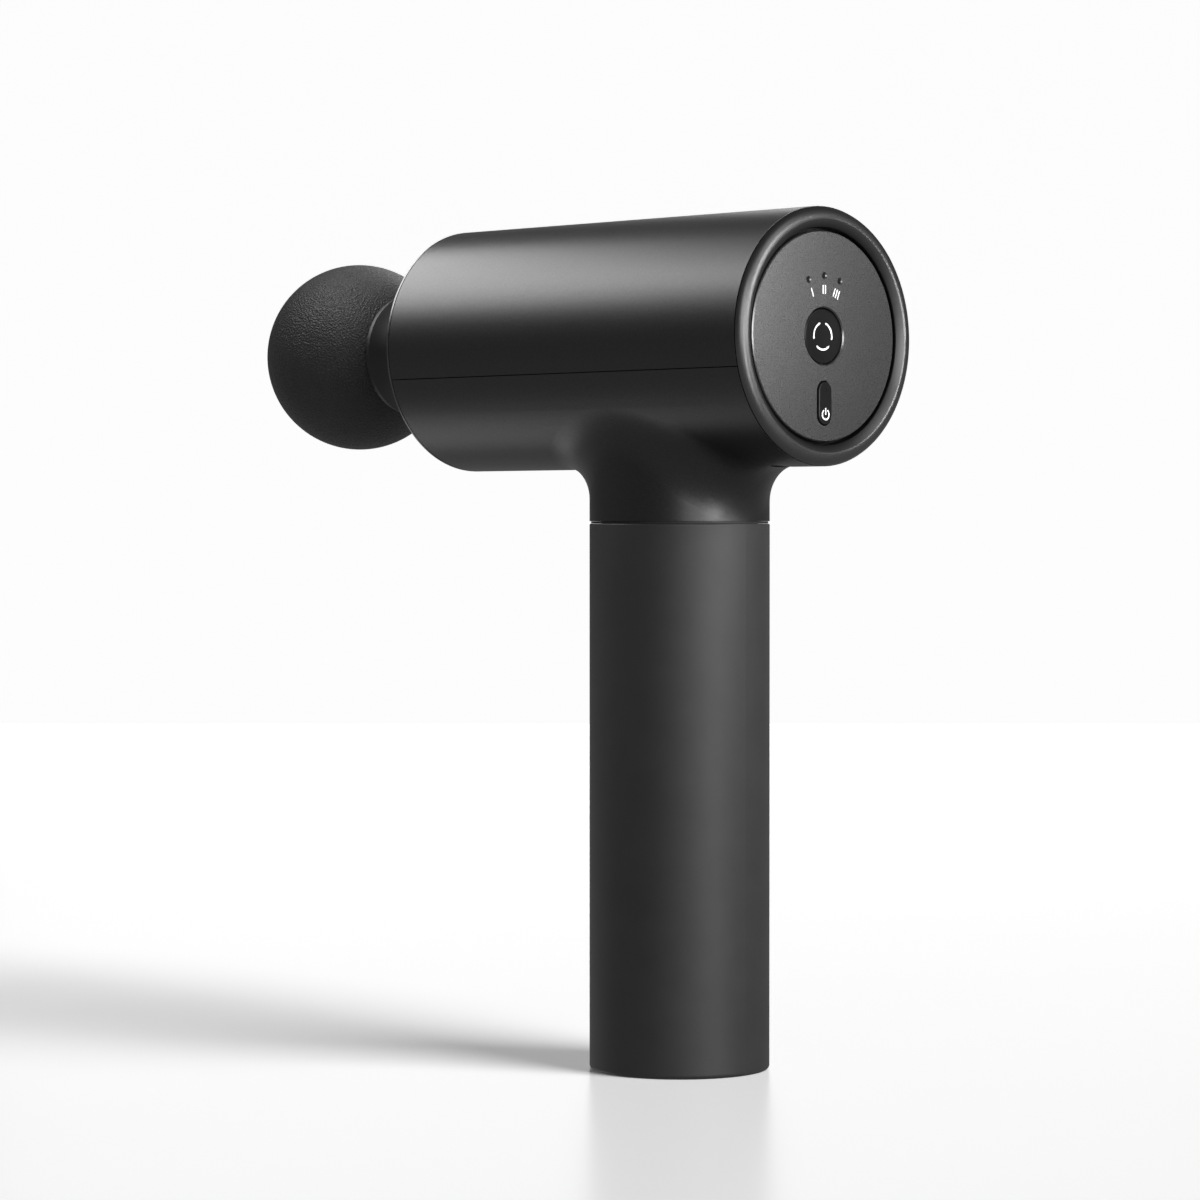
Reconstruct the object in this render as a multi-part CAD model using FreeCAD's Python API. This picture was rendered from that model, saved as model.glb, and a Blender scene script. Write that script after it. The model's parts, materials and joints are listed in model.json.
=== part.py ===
"""Massage gun: a round barrel on a cylindrical grip, with a ball head on a crank-driven plunger.

Millimetres. +Z is up, +X points to the rear control panel, and the ball head is at -X.
The origin is the centre of the grip's flat foot, so the gun stands on z = 0.
Each function makes one node, and main() writes each node to parts/NODE.step.
"""
import FreeCAD
import Part
import math
import os

V = FreeCAD.Vector
X_AXIS, Y_AXIS, Z_AXIS = V(1, 0, 0), V(0, 1, 0), V(0, 0, 1)

# ---- driving dimensions ----
GRIP_R = 23.0            # outside of the grip sleeve
GRIP_TOP = 139.2         # top edge of the sleeve
NECK_BOTTOM = 139.8      # lower edge of the barrel's neck
BARREL_R = 32.05
BARREL_Z = 185.3         # height of the barrel's axis
SHELL_FRONT = -75.1
SHELL_REAR = 48.75
SHELL_T = 2.2            # wall of the two barrel shells
NECK_BLEND_ENDS = 13.3   # outside fillet from barrel to neck, in front of and behind the neck
NECK_BLEND_SIDES = 24.0  # the same fillet where it is widest, at the two sides
NECK_BLEND_REACH = 60.0
SPLIT_DROP = 8.3         # the shells part this far below the barrel's axis
FRONT_FACE = -76.3       # front of the front cover
BEZEL_CREST = 50.85      # rearmost ring of the rear bezel
PANEL_FACE = 49.3
PANEL_R = 26.0
BALL_R = 25.5
BALL_X = -122.6
BALL_WALL = 2.2
FLANGE_X = -102.3        # front edge of the head base's flange
FLANGE_R = 16.2

# ---- drive train ----
CRANK_THROW = 5.0        # half the 10 mm stroke
ROD_LENGTH = 34.0        # crank pin to wrist pin
PISTON_R = 14.0
PISTON_FRONT = -80.0
PISTON_REAR = -20.0
PLATE_Z = 168.0          # underside of the drive frame's plate
PLATE_T = 3.0
BELL_R = 17.5
WRIST_X = CRANK_THROW - ROD_LENGTH

# ---- derived ----
SPLIT_Z = BARREL_Z - SPLIT_DROP
SHELL_INNER_R = BARREL_R - SHELL_T
NECK_INNER_R = GRIP_R - SHELL_T
PLATE_TOP = PLATE_Z + PLATE_T
GAP = 0.05               # between parts that are fitted together
BEYOND = 200.0           # farther than any part of the gun reaches

# ---- control panel layout, measured from the barrel's axis ----
SPEED_HOLE_R = 7.05
POWER_DROP = 16.5        # the power key's centre below the axis
POWER_Z = BARREL_Z - POWER_DROP
POWER_SLOT = (11.2, 5.4)         # length and width of the power key's slot
LED_RING_R = 14.9        # circle of the three level lamps
LED_ANGLES = (-22.7, 0.0, 22.7)
LED_HOLE_R = 0.65
BOARD_X = 42.2           # rear face of the control board
BOARD_T = 1.6
KEY_CLEAR = 0.35         # gap round each key
POST_R = 19.0            # circle of the posts that carry the control board
POST_ANGLES = (0.0, 80.0, 160.0, 200.0, 280.0)
PORT_X = 36.6            # charging socket, on the underside
PORT_LENGTH, PORT_WIDTH = 9.4, 3.7


# ---- helpers ----
def rod_x(radius, x0, x1, y=0.0, z=BARREL_Z):
    """A cylinder along X from x0 to x1."""
    return Part.makeCylinder(radius, x1 - x0, V(x0, y, z), X_AXIS)


def rod_z(radius, z0, z1, x=0.0, y=0.0):
    """A cylinder along Z from z0 to z1."""
    return Part.makeCylinder(radius, z1 - z0, V(x, y, z0), Z_AXIS)


def box(x0, x1, y0, y1, z0, z1):
    return Part.makeBox(x1 - x0, y1 - y0, z1 - z0, V(x0, y0, z0))


def outline_face(outline, z=0.0):
    """A face in the XZ plane from a closed outline, raised by z.

    Each point is (x, z) and starts a straight line to the next point. A point with two more
    numbers starts an arc that passes through them.
    """
    edges = []
    for start, end in zip(outline, outline[1:] + outline[:1]):
        a, b = V(start[0], 0, z + start[1]), V(end[0], 0, z + end[1])
        if len(start) == 4:
            edges.append(Part.Arc(a, V(start[2], 0, z + start[3]), b).toShape())
        else:
            edges.append(Part.LineSegment(a, b).toShape())
    return Part.Face(Part.Wire(edges))


def revolve_x(outline):
    """Turns a closed outline of (x, radius) points about the barrel's axis."""
    return outline_face(outline, BARREL_Z).revolve(V(0, 0, BARREL_Z), X_AXIS, 360)


def revolve_z(outline):
    """Turns a closed outline of (radius, z) points about the grip's axis."""
    return outline_face(outline).revolve(V(0, 0, 0), Z_AXIS, 360)


def arc_mid(centre, radius, degrees):
    """The point of an arc at an angle, for the outlines above."""
    a = math.radians(degrees)
    return centre[0] + radius * math.cos(a), centre[1] + radius * math.sin(a)


def pill_x(length, width, x0, x1, z):
    """An upright stadium extruded along X, centred on y = 0."""
    r = width / 2
    half = length / 2 - r
    body = box(x0, x1, -r, r, z - half, z + half)
    return body.fuse([rod_x(r, x0, x1, 0, z + half), rod_x(r, x0, x1, 0, z - half)]).removeSplitter()


def slot_z(length, width, z0, z1, x):
    """A stadium lying along Y, extruded along Z."""
    r = width / 2
    half = length / 2 - r
    body = box(x - r, x + r, -half, half, z0, z1)
    return body.fuse([rod_z(r, z0, z1, x, half), rod_z(r, z0, z1, x, -half)]).removeSplitter()


def around_z(radius, degrees):
    """(x, y) places on a circle about the grip's axis."""
    return [(radius * math.cos(math.radians(a)), radius * math.sin(math.radians(a))) for a in degrees]


def slab(z0, z1):
    """A block wider than the whole gun, to keep or cut everything between two heights."""
    return box(-BEYOND, BEYOND, -BEYOND, BEYOND, z0, z1)


def around_x(angle, radius):
    """(y, z) at an angle clockwise from the top of the barrel, seen from behind."""
    a = math.radians(angle)
    return radius * math.sin(a), BARREL_Z + radius * math.cos(a)


def tube_along(points, radius, bend):
    """A round wire along straight runs joined by tangent arcs of one radius."""
    pts = [V(*p) for p in points]
    edges, last = [], pts[0]
    for before, corner, after in zip(pts, pts[1:], pts[2:]):
        back, on = (before - corner).normalize(), (after - corner).normalize()
        half = back.getAngle(on) / 2
        reach = bend / math.tan(half)
        start, end = corner + back * reach, corner + on * reach
        middle = corner + (back + on).normalize() * (bend / math.sin(half) - bend)
        edges += [Part.LineSegment(last, start).toShape(), Part.Arc(start, middle, end).toShape()]
        last = end
    edges.append(Part.LineSegment(last, pts[-1]).toShape())
    path = Part.Wire(edges)
    ring = Part.Wire(Part.makeCircle(radius, pts[0], pts[1] - pts[0]))
    return path.makePipeShell([ring], True, False)


def pan_screw(radius, length, head_r, head_h, tip, direction):
    """A screw whose thread starts at tip and whose head stands beyond it, along direction."""
    shank = Part.makeCylinder(radius, length, tip, direction)
    head_at = tip + V(direction) * length
    head = Part.makeCylinder(head_r, head_h, head_at, direction)
    slot_at = tip + V(direction) * (length + head_h * 0.5)
    recess = Part.makeCylinder(head_r * 0.4, head_h, slot_at, direction)
    return shank.fuse(head).cut(recess).removeSplitter()


def joined(shapes):
    """Several separate solids in one shape."""
    return Part.makeCompound(shapes)


def edges_along(shape, axis):
    """The straight edges of a shape that run along an axis."""
    return [edge for edge in shape.Edges if abs(edge.tangentAt(edge.FirstParameter).dot(axis)) > 0.9]


# ---- barrel shells ----
def barrel_and_neck(radius, neck_radius, blend_ends, blend_sides, x0, x1, neck_bottom):
    """A cylinder along X on a round neck, blended by a fillet that widens towards the two sides.

    A quarter is filleted and then mirrored, because the fillet's radius runs from end to side.
    """
    reach = NECK_BLEND_REACH
    body = rod_x(radius, 0, reach).fuse(rod_z(neck_radius, neck_bottom, BARREL_Z))
    quarter = body.common(box(0, reach, 0, reach, neck_bottom, BARREL_Z + reach)).removeSplitter()
    seam = [edge for edge in quarter.Edges if is_neck_seam(edge, radius, neck_radius)]
    starts_at_end = abs(seam[0].valueAt(seam[0].FirstParameter).y) < 1e-6
    blends = (blend_ends, blend_sides) if starts_at_end else (blend_sides, blend_ends)
    quarter = quarter.makeFillet(blends[0], blends[1], seam)
    half = quarter.fuse(quarter.mirror(V(0, 0, 0), Y_AXIS))
    whole = half.fuse(half.mirror(V(0, 0, 0), X_AXIS)).removeSplitter()
    barrel = rod_x(radius, x0, x1)
    return barrel.fuse(whole.common(box(-reach + 1, x1, -reach, reach, 0, BARREL_Z))).removeSplitter()


def is_neck_seam(edge, radius, neck_radius):
    """True for an edge that lies on both the barrel and the neck."""
    for point in edge.discretize(5):
        on_barrel = abs(math.hypot(point.y, point.z - BARREL_Z) - radius) < 1e-3
        on_neck = abs(math.hypot(point.x, point.y) - neck_radius) < 1e-3
        if not (on_barrel and on_neck):
            return False
    return True


def outer_form():
    """The outside of both barrel shells together."""
    return barrel_and_neck(BARREL_R, GRIP_R, NECK_BLEND_ENDS, NECK_BLEND_SIDES,
                           SHELL_FRONT, SHELL_REAR, NECK_BOTTOM)


def inner_form():
    """The hollow of both barrel shells, open at the ends and at the neck."""
    return barrel_and_neck(SHELL_INNER_R, NECK_INNER_R, NECK_BLEND_ENDS + SHELL_T,
                           NECK_BLEND_SIDES + SHELL_T, SHELL_FRONT - 1, SHELL_REAR + 1, NECK_BOTTOM - 1)


TONGUE_H = 2.0           # the tongue on the lower shell that centres the upper one
TONGUE_T = 0.9
SEAM_W = 0.24            # open seam between the shells, and before the bezel
SEAM_DEPTH = 1.2         # of the seams beside the front cover and the bezel
STIFFENER_X = (-40.0, -5.0, 22.0)
FRONT_BOSS = (-69.9, -62.0)      # the screw bosses' ends, along X
REAR_BOSS = (35.0, 43.8)
PILOT_R = 1.0            # holes that the shell screws cut their thread in
SPIGOT_Z = 127.0         # lower end of the shell's spigot inside the grip tube
SPIGOT_R = (18.3, 19.9)
FRAME_BOSSES = [(-39.5, 14.5), (-39.5, -14.5), (24.0, 14.5), (24.0, -14.5)]
FRONT_SCREW_R = 27.2     # circle of the front cover's screws
FRONT_SCREW_ANGLES = (60.0, 120.0, 240.0, 300.0)
REAR_SCREW_R = 24.4      # circle of the rear bezel's screws
REAR_SCREW_ANGLES = (45.0, 135.0, 225.0, 315.0)
GROMMET_H = 2.0


def front_screw_places():
    return [around_x(angle, FRONT_SCREW_R) for angle in FRONT_SCREW_ANGLES]


def rear_screw_places():
    return [around_x(angle, REAR_SCREW_R) for angle in REAR_SCREW_ANGLES]


def screw_boss(x0, x1, angle, radius, boss_r=2.7):
    """A round boss along X, joined to the shell's wall by a rib of its own width."""
    rib = box(x0, x1, -boss_r * 0.7, boss_r * 0.7, radius, SHELL_INNER_R + 0.5)
    rib.translate(V(0, 0, BARREL_Z))
    rib.rotate(V(0, 0, BARREL_Z), X_AXIS, -angle)
    y, z = around_x(angle, radius)
    inside = rod_x(SHELL_INNER_R + 0.5, x0, x1)
    return rod_x(boss_r, x0, x1, y, z).fuse(rib).common(inside).removeSplitter()


def end_bosses(above):
    """Screw bosses for the end rings; those above the split belong to the upper shell."""
    front = [(angle, FRONT_SCREW_R, FRONT_BOSS) for angle in FRONT_SCREW_ANGLES]
    rear = [(angle, REAR_SCREW_R, REAR_BOSS) for angle in REAR_SCREW_ANGLES]
    return [screw_boss(*ends, angle, radius) for angle, radius, ends in front + rear
            if (angle < 90 or angle > 270) == above]


def end_boss_holes():
    """Pilot holes from the open end of each boss."""
    front = [rod_x(PILOT_R, FRONT_BOSS[0] - 1.1, FRONT_BOSS[1] - 2, y, z) for y, z in front_screw_places()]
    return front + [rod_x(PILOT_R, REAR_BOSS[0] + 1.5, REAR_BOSS[1] + 1.2, y, z)
                    for y, z in rear_screw_places()]


def upper_housing():
    """Upper barrel shell, with a groove for the lower shell's tongue and three stiffening ribs."""
    groove = rod_x(SHELL_INNER_R + TONGUE_T + 0.1, SHELL_FRONT - 1, SHELL_REAR + 1)
    groove = groove.common(slab(SPLIT_Z - 1, SPLIT_Z + TONGUE_H + 0.15))
    shell = outer_form().cut(inner_form()).common(slab(SPLIT_Z + SEAM_W / 2, 300)).cut(groove)
    shell = shell.fuse(end_bosses(True))
    for x in STIFFENER_X:
        rib = rod_x(SHELL_INNER_R + 0.3, x, x + 1.4).cut(rod_x(SHELL_INNER_R - 1.6, x - 1, x + 3))
        shell = shell.fuse(rib.common(slab(SPLIT_Z + 6, 300)))
    return shell.cut(end_boss_holes()).removeSplitter()


def lower_housing():
    """Lower barrel shell with the neck: it carries the drive frame, two boards and the grip tube."""
    outer = outer_form()
    shell = outer.cut(inner_form()).common(slab(100, SPLIT_Z - SEAM_W / 2))
    tongue = rod_x(SHELL_INNER_R + TONGUE_T, SHELL_FRONT + 6.5, SHELL_REAR - 6.5)
    tongue = tongue.cut(rod_x(SHELL_INNER_R, SHELL_FRONT, SHELL_REAR))
    shell = shell.fuse(tongue.common(slab(SPLIT_Z - 1, SPLIT_Z + TONGUE_H)))
    within = outer.cut(rod_z(NECK_INNER_R + 0.6, 100, 170)).common(slab(120, 175))
    for x, y in FRAME_BOSSES:
        shell = shell.fuse(rod_z(3.4, 140, PLATE_Z - GROMMET_H - GAP, x, y).common(within))
    shell = shell.fuse(end_bosses(False))
    inside = rod_x(SHELL_INNER_R + 0.5, SHELL_FRONT, SHELL_REAR)
    shell = shell.fuse(driver_board_rails().common(inside))
    shell = shell.fuse(charging_board_posts().common(inside))
    for x, y in FRAME_BOSSES:
        shell = shell.cut(rod_z(1.25, PLATE_Z - 9, PLATE_Z, x, y))
    shell = shell.cut(slot_z(PORT_LENGTH, PORT_WIDTH, 145, 157.5, PORT_X))
    spigot = rod_z(SPIGOT_R[1], SPIGOT_Z, NECK_BOTTOM + 3).cut(rod_z(SPIGOT_R[0], 120, 150))
    web = rod_z(NECK_INNER_R + 0.4, NECK_BOTTOM, NECK_BOTTOM + 3).cut(rod_z(19.0, 120, 150))
    return shell.fuse([spigot, web]).cut(end_boss_holes())


DRIVER_X0, DRIVER_X1 = 30.0, 31.6        # faces of the driver board
DRIVER_HALF_W = 20.0
CHARGE_Z0, CHARGE_Z1 = 162.0, 163.6      # faces of the charging board


def driver_board_rails():
    """Two slotted rails that hold the driver board's lower corners."""
    rails = box(28.4, 33.2, -28.0, 28.0, 160.0, 175.0).cut(box(28, 34, -18.8, 18.8, 159, 176))
    reach = DRIVER_HALF_W + 0.1
    return rails.cut(box(DRIVER_X0 - 0.1, DRIVER_X1 + 0.1, -reach, reach, 166.0, 180))


def charging_board_posts():
    """Posts under the charging board's corners."""
    return joined([rod_z(1.5, 150, CHARGE_Z0 - GAP, PORT_X + dx, dy)
                   for dx in (-4.8, 1.6) for dy in (-8.0, 8.0)])


# ---- front ----
COVER_T = 0.9            # the cover's visible edge
COVER_BACK = -70.1       # rear end of its spigot
COVER_HOLE_R = 19.0
TRIM_R = 30.4
TRIM_T = 0.6


def front_cover():
    """The ring that closes the barrel in front, with a spigot inside the shells and screw pads."""
    edge, inner = 0.35, SHELL_INNER_R - GAP
    ring = revolve_x([
        (FRONT_FACE, COVER_HOLE_R), (FRONT_FACE, BARREL_R - edge), (FRONT_FACE + edge, BARREL_R),
        (FRONT_FACE + COVER_T, BARREL_R), (FRONT_FACE + COVER_T, BARREL_R - SEAM_DEPTH),
        (SHELL_FRONT, BARREL_R - SEAM_DEPTH), (SHELL_FRONT, inner), (COVER_BACK, inner),
        (COVER_BACK, 27.6), (COVER_BACK - 2.5, 27.6), (COVER_BACK - 2.5, COVER_HOLE_R)])
    recess = rod_x(TRIM_R + GAP, FRONT_FACE - 1, FRONT_FACE + TRIM_T).cut(rod_x(COVER_HOLE_R - 1, -90, -70))
    ring = ring.cut(recess)
    for y, z in front_screw_places():
        ring = ring.fuse(rod_x(2.6, -74.0, COVER_BACK, y, z).common(rod_x(inner, -75, -70)))
        ring = ring.cut([rod_x(1.35, -80, -69, y, z), rod_x(2.35, -80, -74.0, y, z)])
    return ring.removeSplitter()


def front_cover_screws():
    return joined([pan_screw(0.95, 8.6, 2.2, 1.4, V(-65.4, y, z), V(-1, 0, 0))
                   for y, z in front_screw_places()])


def front_trim():
    """A thin ring glued over the front cover's screws, with a shallow dish towards the plunger."""
    face = FRONT_FACE + 0.05
    return revolve_x([(face, TRIM_R - 0.25), (face + 0.25, TRIM_R), (FRONT_FACE + TRIM_T, TRIM_R),
                      (FRONT_FACE + TRIM_T, COVER_HOLE_R + 0.5), (face + 0.25, COVER_HOLE_R + 0.5),
                      (face, COVER_HOLE_R + 0.8)])


def front_dust_seal():
    """A rubber ring between the cover and the plunger, with one folded lip."""
    lip = PISTON_R + 0.08
    return revolve_x([
        (-76.6, COVER_HOLE_R - 0.6), (-76.2, COVER_HOLE_R - GAP), (-72.8, COVER_HOLE_R - GAP),
        (-72.8, 15.0), (-74.2, 15.0), (-74.2, 16.6), (-75.3, 16.6), (-76.4, lip + 0.5), (-77.2, lip),
        (-77.6, lip), (-77.6, lip + 0.7, -77.35, lip + 1.4), (-76.6, 16.6)])


# ---- rear ----
LIP_R = 26.8             # inner edge of the bezel's slope
SHELF_X = 46.55          # the panel is bonded to this shelf
SHELF_R = 21.6
BEZEL_BACK = 43.9
CREST_OUTER_ROUND = 2.7
CREST_INNER_ROUND = 0.8
CREST_FLAT = 0.3
SLOPE_ANGLE = 38.0       # of the inner wall, from a plane across the barrel


def rear_bezel():
    """The ring behind the barrel: a rounded crest, a sloped inner wall and a shelf under the panel."""
    rim_x = SHELL_REAR + SEAM_W
    outer_centre = (BEZEL_CREST - CREST_OUTER_ROUND, BARREL_R - CREST_OUTER_ROUND)
    inner_centre = (BEZEL_CREST - CREST_INNER_ROUND, outer_centre[1] - CREST_FLAT)
    rim_angle = math.degrees(math.acos((rim_x - outer_centre[0]) / CREST_OUTER_ROUND))
    rim = arc_mid(outer_centre, CREST_OUTER_ROUND, rim_angle)
    slope = arc_mid(inner_centre, CREST_INNER_ROUND, -SLOPE_ANGLE)
    lip_x = slope[0] - (slope[1] - LIP_R) * math.tan(math.radians(SLOPE_ANGLE))
    ring = revolve_x([
        rim + arc_mid(outer_centre, CREST_OUTER_ROUND, rim_angle / 2), (BEZEL_CREST, outer_centre[1]),
        (BEZEL_CREST, inner_centre[1]) + arc_mid(inner_centre, CREST_INNER_ROUND, -SLOPE_ANGLE / 2), slope,
        (lip_x + 0.1, LIP_R + 0.1), (lip_x - 0.15, LIP_R), (SHELF_X, LIP_R), (SHELF_X, SHELF_R),
        (BEZEL_BACK + 0.5, SHELF_R), (BEZEL_BACK, SHELF_R + 0.5), (BEZEL_BACK, SHELL_INNER_R - GAP),
        (SHELL_REAR, SHELL_INNER_R - GAP), (SHELL_REAR, BARREL_R - SEAM_DEPTH),
        (rim_x, BARREL_R - SEAM_DEPTH)])
    power_key_room = box(40, 48, -4.2, 4.2, BARREL_Z - 24.0, BARREL_Z - 18)
    ring = ring.cut(power_key_room)
    for y, z in rear_screw_places():
        ring = ring.cut([rod_x(1.35, 40, 52, y, z), rod_x(2.15, 45.7, 47.0, y, z)])
    return ring.removeSplitter()


def bezel_screws():
    """Countersunk screws through the bezel's shelf into the shells' bosses."""
    return joined([pan_screw(0.95, 7.65, 2.0, 0.75, V(38.1, y, z), V(1, 0, 0))
                   for y, z in rear_screw_places()])


def led_places():
    """(y, z) of the three level lamps."""
    return [around_x(angle, LED_RING_R) for angle in LED_ANGLES]


def post_places():
    """(y, z) of the posts behind the panel that carry the control board."""
    return [around_x(angle, POST_R) for angle in POST_ANGLES]


def control_panel():
    """The round panel: holes for two keys and three lamps, and posts behind it."""
    edge = 0.25
    disc = revolve_x([(SHELF_X + GAP, 0.0), (SHELF_X + GAP, PANEL_R), (PANEL_FACE - edge, PANEL_R),
                      (PANEL_FACE, PANEL_R - edge), (PANEL_FACE, 0.0)])
    disc = disc.fuse([rod_x(2.0, BOARD_X + GAP, SHELF_X + 0.15, y, z) for y, z in post_places()])
    cuts = [rod_x(SPEED_HOLE_R, 40, 60), pill_x(*POWER_SLOT, 40, 60, POWER_Z)]
    cuts.append(revolve_x([(PANEL_FACE - 0.3, 0), (PANEL_FACE - 0.3, SPEED_HOLE_R),
                           (PANEL_FACE + 0.1, SPEED_HOLE_R + 0.4), (PANEL_FACE + 0.1, 0)]))
    for y, z in led_places():
        cuts.append(rod_x(LED_HOLE_R, 40, 60, y, z))
        cuts.append(Part.makeCone(LED_HOLE_R, LED_HOLE_R + 0.35, 0.35, V(PANEL_FACE - 0.25, y, z), X_AXIS))
    cuts += [rod_x(0.85, 40, 46.0, y, z) for y, z in post_places()]
    return disc.cut(cuts).removeSplitter()


def speed_led_lenses():
    """Clear rods that bring the lamps' light to the panel's face."""
    return joined([rod_x(LED_HOLE_R - GAP, 44.2, PANEL_FACE - 0.3, y, z) for y, z in led_places()])


KEY_BACK = 45.0          # rear of the keys' flanges, which the switches press on
FLANGE_FRONT = 46.45     # the flanges stop against the panel's back
POWER_LAMP_RISE = 3.2    # the power key's lamp hole above its centre


def speed_button():
    """A round key with a flange behind the panel and a slightly dished face."""
    r = SPEED_HOLE_R - KEY_CLEAR
    face, dish = PANEL_FACE - 0.25, 0.35
    cap = revolve_x([
        (KEY_BACK, 0), (KEY_BACK, r + 1.4), (FLANGE_FRONT, r + 1.4), (FLANGE_FRONT, r), (face - 0.25, r),
        (face, r - 0.25), (face, 0)])
    rim = r - 0.8
    sphere_r = (rim * rim + dish * dish) / (2 * dish)
    return cap.cut(Part.makeSphere(sphere_r, V(face - dish + sphere_r, 0, BARREL_Z)))


def power_button():
    """An upright key with rounded ends, a flange behind the panel and a tiny lamp hole."""
    length, width = (size - 2 * KEY_CLEAR for size in POWER_SLOT)
    face = PANEL_FACE + 0.5
    cap = pill_x(length, width, FLANGE_FRONT - 0.1, face, POWER_Z)
    rim = [e for e in cap.Edges if all(abs(v.X - face) < 1e-4 for v in e.Vertexes)]
    cap = cap.makeFillet(0.3, rim)
    cap = cap.fuse(pill_x(length + 1.6, width + 1.6, KEY_BACK, FLANGE_FRONT, POWER_Z)).removeSplitter()
    return cap.cut(rod_x(0.42, 40, 60, 0, POWER_Z + POWER_LAMP_RISE))


def power_led_lens():
    return rod_x(0.37, KEY_BACK + 0.1, PANEL_FACE + 0.42, 0, POWER_Z + POWER_LAMP_RISE)


def key_switches():
    """The two tact switches' bodies, one behind each key."""
    found = []
    for z in (BARREL_Z, POWER_Z):
        body = box(BOARD_X, BOARD_X + 1.6, -3, 3, z - 3, z + 3)
        found.append(body.cut(rod_x(1.95, BOARD_X + 0.2, BOARD_X + 5, 0, z)))
    return joined(found)


def switch_plunger(z):
    """The part of a tact switch that its key presses."""
    return rod_x(1.75, BOARD_X + 0.8, KEY_BACK - GAP, 0, z)


def speed_switch_plunger():
    return switch_plunger(BARREL_Z)


def power_switch_plunger():
    return switch_plunger(POWER_Z)


def control_board():
    """The round board behind the panel, notched round the bezel's screw bosses."""
    board = rod_x(23.4, BOARD_X - BOARD_T, BOARD_X)
    board = board.cut([rod_x(1.1, 30, 50, y, z) for y, z in post_places()])
    return board.cut([rod_x(3.4, 30, 50, y, z) for y, z in rear_screw_places()])


def board_leds():
    """Three level lamps and one power lamp, as bare chips."""
    places = led_places() + [(0.0, POWER_Z + 3.6)]
    return joined([box(BOARD_X, BOARD_X + 0.8, y - 0.8, y + 0.8, z - 0.45, z + 0.45) for y, z in places])


def panel_screws():
    return joined([pan_screw(0.8, 4.8, 1.7, 1.1, V(45.35, y, z), V(-1, 0, 0)) for y, z in post_places()])


def driver_board():
    return box(DRIVER_X0, DRIVER_X1, -DRIVER_HALF_W, DRIVER_HALF_W, 166.05, 203.0)


def driver_transistors():
    places = [(y, z) for z in (190.0, 198.0) for y in (-14.0, 0.0, 14.0)]
    return joined([box(DRIVER_X1, DRIVER_X1 + 1.4, y - 2.5, y + 2.5, z - 3, z + 3) for y, z in places])


def driver_capacitor():
    """A can capacitor lying across the driver board."""
    can = Part.makeCylinder(4.0, 13.0, V(DRIVER_X1 + 4.05, -6.5, 179.0), Y_AXIS)
    rim = [e for e in can.Edges if e.Closed]
    return can.makeFillet(0.5, rim)


def panel_ribbon():
    """A flat cable between the two boards."""
    return box(DRIVER_X1, BOARD_X - BOARD_T, -11.5, -3.5, 185.0, 185.35)


def charging_board():
    return box(PORT_X - 6.5, PORT_X + 3.2, -9.0, 9.0, CHARGE_Z0, CHARGE_Z1)


def usb_c_socket():
    """A socket's metal shell with its tongue, opening downwards through the shell."""
    top, bottom = CHARGE_Z0, 154.6
    shell = slot_z(8.94, 3.26, bottom, top, PORT_X).cut(slot_z(8.34, 2.66, bottom - 1, top - 1.0, PORT_X))
    tongue = box(PORT_X - 0.35, PORT_X + 0.35, -3.3, 3.3, bottom + 1.2, top - 0.9)
    return shell.fuse(tongue).removeSplitter()


# ---- grip ----
SLEEVE_T = 1.5           # thickness of the silicone
SLEEVE_FOOT_R = 1.0      # rounding of its lower and upper edge
SLEEVE_TOP_R = 0.4
LIP_HEIGHT = 1.2         # of the sleeve's turned-in foot
CAP_R = 19.0             # foot plate
CAP_SCREW_R = 16.2       # circle of its screws
CELL_R = 9.1
CELL_Z0, CELL_Z1 = 52.0, 117.0
TRAY_R = 20.0
LEAD_NOTCH = (2.4, -17.2)        # radius and x of the notch for the leads


def neck_gasket():
    """The thin ring seen between the sleeve and the neck."""
    return rod_z(GRIP_R - 0.4, GRIP_TOP + GAP, NECK_BOTTOM - GAP).cut(rod_z(19.95, 130, 150))


def grip_sleeve():
    """Silicone sleeve that turns under the tube to form the foot's outer ring."""
    inner = GRIP_R - SLEEVE_T
    foot_r, top_r = SLEEVE_FOOT_R, SLEEVE_TOP_R
    foot = arc_mid((GRIP_R - foot_r, foot_r), foot_r, -45)
    top = arc_mid((GRIP_R - top_r, GRIP_TOP - top_r), top_r, 45)
    return revolve_z([
        (CAP_R + 0.2, 0.0), (GRIP_R - foot_r, 0.0) + foot, (GRIP_R, foot_r), (GRIP_R, GRIP_TOP - top_r) + top,
        (GRIP_R - top_r, GRIP_TOP), (inner, GRIP_TOP), (inner, LIP_HEIGHT), (CAP_R + 0.2, LIP_HEIGHT)])


def cap_screw_places():
    return around_z(CAP_SCREW_R, (30, 150, 270))


def grip_tube():
    """The stiff tube inside the sleeve, with a ledge and three bosses for the foot's screws."""
    outer = GRIP_R - SLEEVE_T - GAP
    tube = rod_z(outer, LIP_HEIGHT + GAP, GRIP_TOP).cut(rod_z(20.1, 6.0, 150))
    tube = tube.cut(rod_z(CAP_R + 0.1, 0, 7))
    ledge = rod_z(20.3, 6.0, 9.0).cut(rod_z(16.5, 5, 10))
    tube = tube.fuse(ledge)
    for x, y in cap_screw_places():
        tube = tube.fuse(rod_z(2.6, 6.0, 16.0, x, y))
        tube = tube.cut(rod_z(0.9, 5.0, 15.0, x, y))
    return tube.removeSplitter()


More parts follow.
